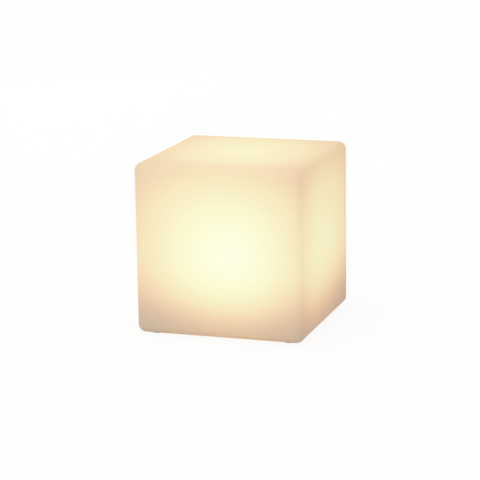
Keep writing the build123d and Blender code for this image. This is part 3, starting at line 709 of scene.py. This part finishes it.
def clear_plastic(name):
    """The light pipe's clear plastic, faintly scuffed."""
    material, wiring, shader = fresh(name)
    surface = with_group(wiring, moulded_surface(), {
        "Colour": (0.93, 0.96, 0.97, 1), "Grains per metre": 800.0, "Roughness": 0.12,
        "Roughness spread": 0.06})
    wiring.feed(shader["Base Color"], surface["Colour"])
    wiring.feed(shader["Roughness"], surface["Roughness"])
    shader["Transmission Weight"].default_value = 0.9
    shader["IOR"].default_value = 1.49
    bump(wiring, shader, surface["Height"], 0.01 * MM)
    return material


def dress(material, *nodes):
    """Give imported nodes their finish."""
    for node in nodes:
        for slot in frame["nodes"][node].material_slots:
            slot.material = material


# ---------------------------------------------------------------- operators


class CUBELAMP_OT_shell(bpy.types.Operator):
    """Model the hollow glowing cube with its pocket, neck, insert bosses and foot dimples"""

    bl_idname = "cubelamp.shell"
    bl_label = "Glowing cube"

    def execute(self, context):
        size = context.scene.cubelamp_shell
        wall, mouth = size.wall, size.mouth_round
        bottom = SHELL_LOW.z
        pocket = COVER_RADIUS + 2 * MM
        neck = FLANGE_RADIUS + 1.5 * MM
        insert_hole = INSERT_RADIUS + 0.05 * MM
        insert_floor = INSERT_TOP + 1.5 * MM
        dimple = FOOT_RADIUS + 0.25 * MM
        lead_in = 0.5 * MM
        boss, pad = INSERT_RADIUS + wall, FOOT_RADIUS + wall
        inside, pad_top = bottom + wall / 2, bottom + wall + 2 * MM
        over = 1 * MM

        hollow = rounded_cube("hollow", CUBE_SIDE - 2 * wall, size.edge_radius - wall, 8)
        combine(hollow, turned("pocket_wall", [
            (pocket + wall, inside), (pocket + wall, GASKET_TOP + wall)], sides=192))
        for node in INSERTS:
            at = middle_of(node)
            combine(hollow, turned("boss", [
                (boss, GASKET_TOP), (boss, insert_floor + wall)], at.x, at.y, 48))
        for node in FEET:
            at = middle_of(node)
            combine(hollow, turned("pad", [(pad, inside), (pad, pad_top)], at.x, at.y, 64))

        shell = rounded_cube("glowing_cube", CUBE_SIDE, size.edge_radius, 12)
        combine(shell, hollow)
        flare = [(pocket + mouth, bottom - over)]
        steps = 6
        for step in range(steps + 1):
            angle = pi / 2 * (1 - step / steps)
            flare.append((pocket + mouth - mouth * cos(angle), bottom + mouth - mouth * sin(angle)))
        combine(shell, turned("pocket", flare + [(pocket, GASKET_TOP)], sides=192))
        combine(shell, turned("neck", [
            (neck, GASKET_TOP - over), (neck, GASKET_TOP + wall + over)], sides=128))
        for node in INSERTS:
            at = middle_of(node)
            combine(shell, turned("hole", [
                (insert_hole, GASKET_TOP - over), (insert_hole, insert_floor)], at.x, at.y, 32))
        for node in FEET:
            at = middle_of(node)
            combine(shell, turned("dimple", [
                (dimple + lead_in, bottom - over), (dimple + lead_in, bottom),
                (dimple, bottom + lead_in), (dimple, FOOT_TOP)], at.x, at.y, 64))
        complete(shell, "lamp", "shell_plastic", painted_glow_plastic(size), "cube_shell")
        return {"FINISHED"}


class CUBELAMP_OT_feet(bpy.types.Operator):
    """Turn one rubber foot with ring grooves underneath, and copy it into all four dimples"""

    bl_idname = "cubelamp.feet"
    bl_label = "Rubber feet"

    def execute(self, context):
        size = context.scene.cubelamp_rubber
        rim, slope, depth = 0.6 * MM, 0.15 * MM, size.tread_depth
        flat = FOOT_RADIUS - rim
        outline = [(FOOT_RADIUS, FOOT_TOP), (FOOT_RADIUS, rim)]
        steps = 4
        for step in range(1, steps + 1):
            angle = pi / 2 * step / steps
            outline.append((flat + rim * cos(angle), rim - rim * sin(angle)))
        ring = flat / (size.tread_rings + 1)
        for number in range(size.tread_rings):
            outer = flat - ring * (number + 0.45)
            inner = outer - 0.5 * ring
            outline += [(outer, 0), (outer - slope, depth), (inner + slope, depth), (inner, 0)]
        outline.append((0.4 * ring, 0))
        rubber = plastic("Foot rubber", size.dark, 0.72, 2200.0, 0.05 * MM, dust=0.5, scratches=0.3)
        first = turned("foot_pad", outline, sides=64)
        bpy.ops.object.transform_apply(location=True, rotation=True, scale=True)
        for node in FEET:
            hold(first)
            bpy.ops.object.duplicate(linked=False)
            pad = named(node.replace("foot", "foot_pad"))
            at = middle_of(node)
            pad.location = (at.x, at.y, 0)
            complete(pad, "lamp", "rubber", rubber, node)
        bpy.data.objects.remove(first)
        return {"FINISHED"}


class CUBELAMP_OT_boot(bpy.types.Operator):
    """Model the button's rubber boot, with its flange, folded skirt and raised on/off symbol"""

    bl_idname = "cubelamp.boot"
    bl_label = "Button boot"

    def execute(self, context):
        size = context.scene.cubelamp_rubber
        face, roof = BOOT_LOW.z, BOOT_HIGH.z
        flange = (BOOT_HIGH.x - BOOT_LOW.x) / 2
        flange_low = roof - 1 * MM
        edge = 0.12 * MM
        # The skirt from the face outwards, as radii and rises above the face in millimetres.
        skirt = (
            (4.6, 0), (6.0, 0.1), (6.5, 0.4), (6.75, 0.95), (6.85, 1.5), (7.0, 2.1), (7.25, 2.6))
        outline = [(radius * MM, face + rise * MM) for radius, rise in skirt]
        outline += [
            (7.6 * MM, flange_low), (flange, flange_low), (flange, roof),
            (6.7 * MM, roof), (6.4 * MM, face + 2.2 * MM), (6.3 * MM, BUTTON_LOW.z)]
        boot = turned("boot_with_symbol", outline, BOOT_X)
        soften(boot, edge, angle=40)

        low, sunk = face - size.symbol_height, face + 0.2 * MM
        outer, line = size.symbol_radius, size.symbol_line
        inner, gap = outer - line, 1.5 * line
        symbol = turned("symbol", [
            (outer - edge, low), (outer, low + edge), (outer, sunk)], BOOT_X, sides=64)
        combine(symbol, turned("inside", [
            (inner + edge, low - line), (inner + edge, low), (inner, low + edge),
            (inner, face + line)], BOOT_X, sides=64))
        combine(symbol, block(
            "gap", (BOOT_X - gap, 0, low - line), (BOOT_X + gap, 2 * outer, face + line)))
        bar = block("bar", (BOOT_X - line / 2, 0.1 * outer, low),
                    (BOOT_X + line / 2, 1.15 * outer, sunk))
        soften(bar, edge)
        combine(symbol, bar, "UNION")
        combine(boot, symbol, "UNION")
        rubber = plastic("Boot rubber", size.boot, 0.6, 2600.0, 0.03 * MM, dust=0.2)
        complete(boot, None, "boot_rubber", rubber, "button_boot")
        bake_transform(boot)
        return {"FINISHED"}


class CUBELAMP_OT_bung(bpy.types.Operator):
    """Model the jack's bung in one piece with its strap, thumb lip and barbed anchor"""

    bl_idname = "cubelamp.bung"
    bl_label = "Jack bung"

    def execute(self, context):
        size = context.scene.cubelamp_rubber
        low = BUNG_LOW.z
        radius = JACK_X - BUNG_LOW.x
        plug_top = BUNG_HIGH.z
        plug, bore, edge = 2.75 * MM, 1.65 * MM, 0.25 * MM
        bung = turned("bung_with_strap", [
            (radius - 1.2 * MM, low), (radius - 0.6 * MM, low + 0.12 * MM),
            (radius - 0.15 * MM, low + 0.45 * MM), (radius, low + 0.9 * MM),
            (radius, JACK_MOUTH - edge), (radius - edge, JACK_MOUTH), (plug, JACK_MOUTH),
            (plug, plug_top - 0.3 * MM), (plug - edge, plug_top), (bore, plug_top),
            (bore, JACK_MOUTH + 0.05 * MM)], JACK_X)
        # The lip and the strap start inside the bung, this far from its middle.
        inside = 4 * MM
        lip_half = 2.4 * MM
        lip = block("lip", (BUNG_LOW.x - 1.9 * MM, -lip_half, JACK_MOUTH - 1.3 * MM),
                    (JACK_X - inside, lip_half, JACK_MOUTH - 0.3 * MM))
        soften(lip, 0.4 * MM, 3)
        combine(bung, lip, "UNION")
        pitch, rib_half = 2.2 * MM, 0.45 * MM
        for number in (-1, 0, 1):
            x = JACK_X + number * pitch
            half = (3.6 - 0.7 * abs(number)) * MM
            rib = block("rib", (x - rib_half, -half, low - 0.3 * MM),
                        (x + rib_half, half, low + 0.5 * MM))
            soften(rib, 0.2 * MM, 3)
            combine(bung, rib, "UNION")

        half_width, half_thick = ANCHOR_HIGH.y, 0.8 * MM
        strap_low, strap_high = HINGE.z - half_thick, HINGE.z + half_thick
        start, end = JACK_X + inside, ANCHOR_HIGH.x
        strap = block("strap", (start, -half_width, strap_low), (end, half_width, strap_high))
        hold(strap)
        bpy.ops.object.mode_set(mode="EDIT")
        cuts = 40
        for number in range(1, cuts):
            bpy.ops.mesh.select_all(action="SELECT")
            bpy.ops.mesh.bisect(
                plane_co=(start + (end - start) * number / cuts, 0, 0), plane_no=(1, 0, 0))
        bpy.ops.object.mode_set(mode="OBJECT")
        # The strap's waist, where it bends: its middle, its reach each way and its depth.
        waist_x, reach, share = HINGE.x + 0.3 * MM, 1.6 * MM, 0.38
        for point in strap.data.vertices:
            near = abs(point.co.x - waist_x) / reach
            if near < 1:
                waist = 0.5 * (1 + cos(pi * near))
                point.co.z += (HINGE.z - point.co.z) * share * waist
        soften(strap, edge, 3, 60)
        combine(bung, strap, "UNION")

        anchor_x = ANCHOR_HIGH.x - 2.2 * MM
        peg, barb, barb_low = 1.5 * MM, 2.2 * MM, ANCHOR_HIGH.z - 1.6 * MM
        anchor = turned("anchor", [
            (half_width - 0.2 * MM, strap_high - 0.6 * MM), (half_width, strap_high - 0.4 * MM),
            (half_width, WELL_ROOF), (peg, WELL_ROOF), (peg, barb_low), (barb, barb_low),
            (barb, ANCHOR_HIGH.z - 0.7 * MM), (peg, ANCHOR_HIGH.z)], anchor_x, sides=64)
        combine(bung, anchor, "UNION")
        rubber = plastic("Bung rubber", size.dark, 0.62, 2400.0, 0.03 * MM, dust=0.25)
        complete(bung, None, "rubber", rubber, "bung_cap", "bung_anchor")
        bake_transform(bung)
        return {"FINISHED"}


class CUBELAMP_OT_finishes(bpy.types.Operator):
    """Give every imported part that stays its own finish"""

    bl_idname = "cubelamp.finishes"
    bl_label = "Finishes"

    def execute(self, context):
        colour = context.scene.cubelamp_finish
        rubber = context.scene.cubelamp_rubber
        low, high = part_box("cell_1")
        dress(plastic("Cover plastic", colour.cover, 0.5, 1700.0, 0.05 * MM,
                      dust=0.22, scratches=0.5), "base_cover")
        dress(plastic("Gasket rubber", rubber.dark, 0.7, 2400.0, 0.03 * MM), "base_gasket")
        dress(plastic("Can plastic", colour.can, 0.5, 1300.0, 0.03 * MM, scratches=0.2), "canister")
        dress(plastic("Black plastic", (0.022, 0.022, 0.024), 0.42, 2000.0, 0.03 * MM,
                      dust=0.12, scratches=0.3),
              "button_bezel", "charge_socket", "tact_switch", "cell_cradle")
        dress(plastic("Button plastic", (0.5, 0.5, 0.49), 0.4, 1800.0),
              "power_button", "switch_plunger")
        dress(clear_plastic("Clear plastic"), "charge_indicator")
        frosted = plastic("Frosted plastic", (0.85, 0.82, 0.75), 0.6, 3000.0, 0.03 * MM)
        dress(lit(frosted, colour.light, 0.6), "dome")
        dress(plastic("Silicone", (0.62, 0.61, 0.58), 0.45, 900.0), "canister_seal", "dome_seal")
        dress(foam_finish("Foam", (0.035, 0.035, 0.038)), "foam_pad")
        dress(plastic("Red lead", (0.42, 0.012, 0.01), 0.35, 700.0),
              "cell_lead_positive", "lamp_lead_positive")
        dress(plastic("Black lead", (0.014, 0.014, 0.015), 0.35, 700.0),
              "cell_lead_negative", "lamp_lead_negative")
        dress(brushed_metal("Brass", (0.60, 0.42, 0.17), 0.32, (1.0, 1.0, 30.0)), *INSERTS)
        dress(brushed_metal("Nickel", (0.58, 0.56, 0.52), 0.2, (1.0, 1.0, 12.0)),
              "socket_pin", "positive_strip", "negative_strip")
        dress(brushed_metal("Stainless steel", (0.50, 0.49, 0.48), 0.3, (14.0, 1.0, 1.0)),
              *numbered("cover_screw", 6), *numbered("board_screw", 3),
              *numbered("canister_screw", 4), *numbered("lamp_board_screw", 2),
              *numbered("dome_screw", 3))
        dress(brushed_metal("Aluminium", (0.72, 0.72, 0.73), 0.36, (1.0, 24.0, 1.0)),
              "heat_spreader")
        dress(cell_wrapping("Cell wrap", colour.wrap, low.x, high.x), "cell_1", "cell_2")
        dress(circuit_board("Green board", colour.board, (0.02, 0.19, 0.07), (0.62, 0.60, 0.55)),
              "control_board")
        dress(circuit_board("White board", (0.80, 0.80, 0.77), (0.72, 0.72, 0.69),
                            (0.66, 0.64, 0.60), 300.0), "lamp_board")
        dress(plastic("Board parts", (0.03, 0.03, 0.032), 0.5, 2500.0), "board_chips")
        diode = plastic("Diode", (0.85, 0.70, 0.22), 0.25, 4000.0)
        dress(lit(diode, colour.light, 1.0), "lamp_diodes")
        return {"FINISHED"}


class CUBELAMP_OT_stage(bpy.types.Operator):
    """Lay the pale floor, hang the soft lamps, set the even light and stand the camera"""

    bl_idname = "cubelamp.stage"
    bl_label = "Stage"

    def execute(self, context):
        stage = context.scene.cubelamp_stage
        scene = context.scene
        scene.view_settings.view_transform = "Standard"

        nothing_held()
        bpy.ops.mesh.primitive_circle_add(
            vertices=96, radius=12, fill_type="NGON", location=(0, 0, 0))
        floor = named("pale_floor")
        material = bpy.data.materials.new("Pale floor")
        material.use_nodes = True
        wiring = Wiring(material.node_tree)
        wiring.tree.nodes.clear()
        place = wiring.add("TexCoord").outputs["Object"]
        speckle = wiring.span(wiring.noise(place, 30.0, 3.0), 0.3, 0.7, 0.985, 1.0, "LINEAR")
        matt = wiring.add("BsdfDiffuse", {"Color": wiring.tint(stage.floor, speckle)}).outputs[0]
        white = wiring.add("Emission", {"Color": (1, 1, 1, 1), "Strength": 1.0}).outputs[0]
        # How much of what the camera sees is white, close to the lamp and well away from it.
        close, far, close_share, far_share = 0.25, 1.0, 0.90, 0.995
        path = wiring.add("LightPath").outputs
        seen = wiring.math("MAXIMUM", path["Is Camera Ray"], wiring.math(
            "MAXIMUM", path["Is Glossy Ray"], path["Is Transmission Ray"]))
        away = wiring.add("VectorMath", {0: place}, operation="LENGTH").outputs["Value"]
        share = wiring.span(away, close, far, close_share, far_share)
        share = wiring.math("MULTIPLY", seen, share)
        pale = wiring.add("MixShader", {0: share, 1: matt, 2: white}).outputs[0]
        under = wiring.add("NewGeometry").outputs["Backfacing"]
        gone = wiring.add("BsdfTransparent").outputs[0]
        one_sided = wiring.add("MixShader", {0: under, 1: pale, 2: gone}).outputs[0]
        wiring.add("OutputMaterial", {"Surface": one_sided})
        floor.data.materials.append(material)

        world = bpy.data.worlds.new("Even light")
        world.use_nodes = True
        scene.world = world
        wiring = Wiring(world.node_tree)
        wiring.tree.nodes.clear()
        even, plain = (
            wiring.add("Background", {"Color": (1, 1, 1, 1), "Strength": strength}).outputs[0]
            for strength in (stage.ambient, 1.0))
        path = wiring.add("LightPath").outputs
        seen = wiring.math("MAXIMUM", path["Is Camera Ray"], path["Is Transmission Ray"])
        both = wiring.add("MixShader", {0: seen, 1: even, 2: plain}).outputs[0]
        wiring.add("OutputWorld", {"Surface": both})

        target = Vector((0, 0, CUBE_MIDDLE))
        lamps = {}
        for name, spot, side, power in (
                ("key_lamp", (-0.3, -1.9, 0.35), 1.4, stage.key),
                ("fill_lamp", (-1.5, -1.2, 1.2), 1.4, stage.fill),
                ("side_lamp", (1.8, -0.5, 0.7), 1.4, stage.side),
                ("back_lamp", (-1.3, 1.5, 0.2), 1.2, stage.back),
                ("top_lamp", (0, 0, 2.2), 1.4, stage.top),
                ("under_lamp", (0, 0, -1.3), 1.0, stage.under)):
            light = bpy.data.lights.new(name, "AREA")
            light.shape = "SQUARE"
            light.size = side
            light.energy = power
            lamp = bpy.data.objects.new(name, light)
            lamp.location = spot
            lamp.rotation_euler = (target - Vector(spot)).to_track_quat("-Z", "Y").to_euler()
            lamp.visible_camera = False
            lamp.visible_glossy = name != "back_lamp"
            scene.collection.objects.link(lamp)
            lamps[name] = lamp
        # The floor would keep the lamp under it from the underside, so it lets that lamp by. The
        # shell has its own painted glow, with painted foot shade, so that lamp leaves it out and
        # its foot stays as dark as on a table.
        let_by = bpy.data.collections.new("Lets the under lamp by")
        let_by.objects.link(floor)
        unlit = bpy.data.collections.new("Not lit from below")
        unlit.objects.link(bpy.data.objects["glowing_cube"])
        for group in (let_by, unlit):
            group.collection_objects[0].light_linking.link_state = "EXCLUDE"
        lamps["under_lamp"].light_linking.blocker_collection = let_by
        lamps["under_lamp"].light_linking.receiver_collection = unlit

        turn, lift, roll = stage.azimuth, stage.elevation, stage.roll
        back = Vector((sin(turn) * cos(lift), -cos(turn) * cos(lift), sin(lift)))
        level = Vector((0, 0, 1)).cross(back).normalized()
        upright = back.cross(level)
        right = cos(roll) * level + sin(roll) * upright
        up = cos(roll) * upright - sin(roll) * level
        lens = bpy.data.cameras.new("camera")
        lens.lens = stage.lens
        lens.sensor_width = 36
        lens.clip_end = 100
        camera = bpy.data.objects.new("camera", lens)
        at = target - stage.aim_right * right - stage.aim_up * up + stage.distance * back
        aim = Matrix((right, up, back)).transposed().to_4x4()
        camera.matrix_world = Matrix.Translation(at) @ aim
        scene.collection.objects.link(camera)
        scene.camera = camera
        return {"FINISHED"}


class CUBELAMP_PT_panel(bpy.types.Panel):
    """Sizes and colours of the cube lamp, and the steps that make it"""

    bl_idname = "CUBELAMP_PT_panel"
    bl_label = "Cube lamp"
    bl_space_type = "VIEW_3D"
    bl_region_type = "UI"
    bl_category = "Cube lamp"

    def draw(self, context):
        for label, settings in SETTINGS.items():
            box = self.layout.box()
            held = getattr(context.scene, label)
            for name in settings.__annotations__:
                box.prop(held, name)
        for step in OPERATORS:
            self.layout.operator(step.bl_idname)


SETTINGS = {
    "cubelamp_shell": ShellSettings,
    "cubelamp_rubber": RubberSettings,
    "cubelamp_finish": FinishSettings,
    "cubelamp_stage": StageSettings,
}
OPERATORS = (
    CUBELAMP_OT_shell,
    CUBELAMP_OT_feet,
    CUBELAMP_OT_boot,
    CUBELAMP_OT_bung,
    CUBELAMP_OT_finishes,
    CUBELAMP_OT_stage,
)


def register():
    for kind in (*SETTINGS.values(), *OPERATORS, CUBELAMP_PT_panel):
        bpy.utils.register_class(kind)
    for label, settings in SETTINGS.items():
        setattr(bpy.types.Scene, label, PointerProperty(type=settings))


def unregister():
    for label in SETTINGS:
        delattr(bpy.types.Scene, label)
    for kind in reversed((*SETTINGS.values(), *OPERATORS, CUBELAMP_PT_panel)):
        bpy.utils.unregister_class(kind)


def main():
    """Make every piece and the stage."""
    register()
    nothing_held()
    for step in (bpy.ops.cubelamp.shell, bpy.ops.cubelamp.feet, bpy.ops.cubelamp.boot,
                 bpy.ops.cubelamp.bung, bpy.ops.cubelamp.finishes, bpy.ops.cubelamp.stage):
        step()


if __name__ == "__main__":
    main()
